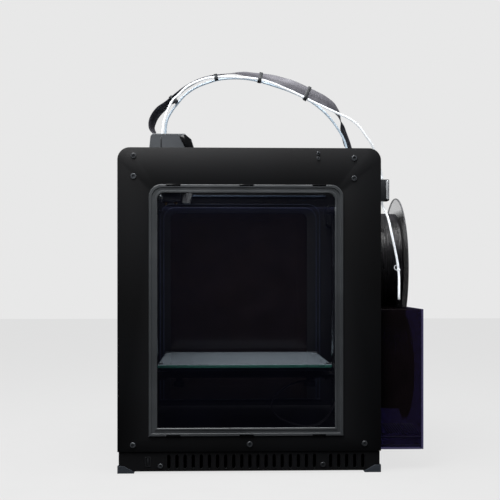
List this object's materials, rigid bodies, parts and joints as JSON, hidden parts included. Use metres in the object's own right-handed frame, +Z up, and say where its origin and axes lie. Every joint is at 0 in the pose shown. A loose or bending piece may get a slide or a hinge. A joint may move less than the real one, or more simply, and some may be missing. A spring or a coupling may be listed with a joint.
{
  "type": "fdm printer",
  "caption": "boxed desktop filament printer with an open top, smoked covers, crossed-rod head, lifting bed, a side spool and a side dry box",
  "frame": {"origin": "middle of the footprint box on the surface the printer stands on", "axes": "+X to the printer's right, where the spools hang; +Y to its back; +Z up"},
  "size_m": [0.509, 0.4346, 0.6957],
  "materials": {
    "coated_steel": "fine satin powder coat, near black",
    "zinc_steel": "zinc-plated sheet",
    "trim_plastic": "satin dark grey moulding",
    "smoked_plastic": "smoked clear acrylic",
    "foot_rubber": "matt blue-grey rubber",
    "ground_steel": "ground and plated shaft",
    "belt_rubber": "toothed black belt",
    "motor_black": "black motor with bare end caps",
    "black_moulding": "fine-grained black moulding",
    "grey_moulding": "satin grey hood",
    "duct_moulding": "light grey moulding",
    "nozzle_brass": "turned brass and aluminium block",
    "bed_aluminium": "rolled plate",
    "bed_glass": "coated build glass, green at its edge",
    "clear_flange": "clear greyish moulding",
    "black_filament": "wound glossy filament",
    "drybox_smoke": "dark smoked moulding",
    "ptfe": "milky white tube",
    "ribbon_jacket": "dark flat cable jacket"
  },
  "bodies": {
    "case": {"front_panel": "coated_steel", "back_panel": "coated_steel", "left_side_panel": "coated_steel", "right_side_panel": "coated_steel", "base_front_grille": "coated_steel", "base_tray": "zinc_steel", "chamber_floor": "zinc_steel", "power_supply": "zinc_steel", "back_cover": "smoked_plastic", "foot_front_left": "foot_rubber", "foot_front_right": "foot_rubber", "foot_back_left": "foot_rubber", "foot_back_right": "foot_rubber", "z_rod_left": "ground_steel", "z_rod_right": "ground_steel", "x_belt_front": "belt_rubber", "x_belt_rear": "belt_rubber", "y_belt_left": "belt_rubber", "y_belt_right": "belt_rubber", "x_motor": "motor_black", "y_motor": "motor_black", "z_motor_left": "motor_black", "z_motor_right": "motor_black", "spool_axle": "black_moulding", "filament_guide": "black_moulding", "power_inlet": "black_moulding", "drybox_body": "drybox_smoke", "feed_tube": "ptfe", "umbilical_tube_a": "ptfe", "umbilical_tube_b": "ptfe", "umbilical_ribbon": "ribbon_jacket", "bed_ribbon": "ribbon_jacket"},
    "front_cover": {"front_cover_trim": "trim_plastic", "front_cover_pane": "smoked_plastic"},
    "side_cover": {"left_cover": "smoked_plastic"},
    "y_carrier": {"y_slider_left": "black_moulding", "y_slider_right": "black_moulding", "cross_rod_x": "ground_steel"},
    "x_carrier": {"x_slider_front": "black_moulding", "x_slider_rear": "black_moulding", "cross_rod_y": "ground_steel"},
    "print_head": {"head_carriage": "black_moulding", "head_cover": "grey_moulding", "hotend": "nozzle_brass", "fan_duct": "duct_moulding"},
    "fan_rotor": {"head_fan": "black_moulding"},
    "front_x_rod": {"x_rod_front": "ground_steel"},
    "rear_x_rod": {"x_rod_rear": "ground_steel"},
    "left_y_rod": {"y_rod_left": "ground_steel"},
    "right_y_rod": {"y_rod_right": "ground_steel"},
    "bed": {"bed_frame": "coated_steel", "heated_bed": "bed_aluminium", "glass_plate": "bed_glass"},
    "left_screw": {"z_screw_left": "ground_steel"},
    "right_screw": {"z_screw_right": "ground_steel"},
    "large_spool": {"upper_spool": "clear_flange", "upper_filament": "black_filament"},
    "small_spool": {"lower_spool": "black_filament"},
    "box_door": {"drybox_door": "drybox_smoke"},
    "rocker": {"power_switch": "black_moulding"}
  },
  "joints": [
    {"name": "front_cover_pull", "type": "slide", "parent": "case", "child": "front_cover", "axis": [0, -1, 0], "range_m": [0, 0.12]},
    {"name": "side_cover_pull", "type": "slide", "parent": "case", "child": "side_cover", "axis": [-1, 0, 0], "range_m": [0, 0.1]},
    {"name": "carrier_y", "type": "slide", "parent": "case", "child": "y_carrier", "axis": [0, 1, 0], "range_m": [-0.079, 0.211]},
    {"name": "head_x", "type": "slide", "parent": "y_carrier", "child": "print_head", "axis": [1, 0, 0], "range_m": [-0.014, 0.274]},
    {"name": "carrier_x", "type": "slide", "parent": "case", "child": "x_carrier", "axis": [1, 0, 0], "range_m": [-0.0145, 0.2745]},
    {"name": "fan_spin", "type": "hinge", "parent": "print_head", "child": "fan_rotor", "pos_m": [-0.1715, -0.0903, 0.488], "axis": [0, 1, 0], "continuous": true},
    {"name": "front_x_rod_spin", "type": "hinge", "parent": "case", "child": "front_x_rod", "pos_m": [-0.0355, -0.196, 0.51], "axis": [1, 0, 0], "continuous": true},
    {"name": "rear_x_rod_spin", "type": "hinge", "parent": "case", "child": "rear_x_rod", "pos_m": [-0.0355, 0.196, 0.51], "axis": [1, 0, 0], "continuous": true},
    {"name": "left_y_rod_spin", "type": "hinge", "parent": "case", "child": "left_y_rod", "pos_m": [-0.2315, 0, 0.494], "axis": [0, 1, 0], "continuous": true},
    {"name": "right_y_rod_spin", "type": "hinge", "parent": "case", "child": "right_y_rod", "pos_m": [0.1605, 0, 0.494], "axis": [0, 1, 0], "continuous": true},
    {"name": "bed_lift", "type": "slide", "parent": "case", "child": "bed", "axis": [0, 0, 1], "range_m": [-0.022, 0.275], "deforming": ["bed_ribbon"]},
    {"name": "left_screw_spin", "type": "hinge", "parent": "case", "child": "left_screw", "pos_m": [-0.2075, 0.03, 0.248], "axis": [0, 0, 1], "continuous": true},
    {"name": "right_screw_spin", "type": "hinge", "parent": "case", "child": "right_screw", "pos_m": [0.1365, 0.03, 0.248], "axis": [0, 0, 1], "continuous": true},
    {"name": "large_spool_spin", "type": "hinge", "parent": "case", "child": "large_spool", "pos_m": [0.2205, 0.07, 0.336], "axis": [1, 0, 0], "continuous": true},
    {"name": "small_spool_spin", "type": "hinge", "parent": "case", "child": "small_spool", "pos_m": [0.2145, -0.089, 0.163], "axis": [1, 0, 0], "continuous": true},
    {"name": "box_door_hinge", "type": "hinge", "parent": "case", "child": "box_door", "pos_m": [0.2545, 0.009, 0.118], "axis": [0, 0, 1], "range_deg": [0, 110]},
    {"name": "rocker_tilt", "type": "hinge", "parent": "case", "child": "rocker", "pos_m": [-0.2035, 0.2133, 0.019], "axis": [1, 0, 0], "range_deg": [-5, 5]}
  ],
  "couplings": [
    {"joint": "front_x_rod_spin", "follows": "carrier_y", "rad_per_m": 157.08},
    {"joint": "rear_x_rod_spin", "follows": "carrier_y", "rad_per_m": 157.08},
    {"joint": "carrier_x", "follows": "head_x", "ratio": 1},
    {"joint": "left_y_rod_spin", "follows": "head_x", "rad_per_m": 157.08},
    {"joint": "right_y_rod_spin", "follows": "head_x", "rad_per_m": 157.08},
    {"joint": "left_screw_spin", "follows": "bed_lift", "rad_per_m": -785.4},
    {"joint": "right_screw_spin", "follows": "bed_lift", "rad_per_m": -785.4}
  ]
}
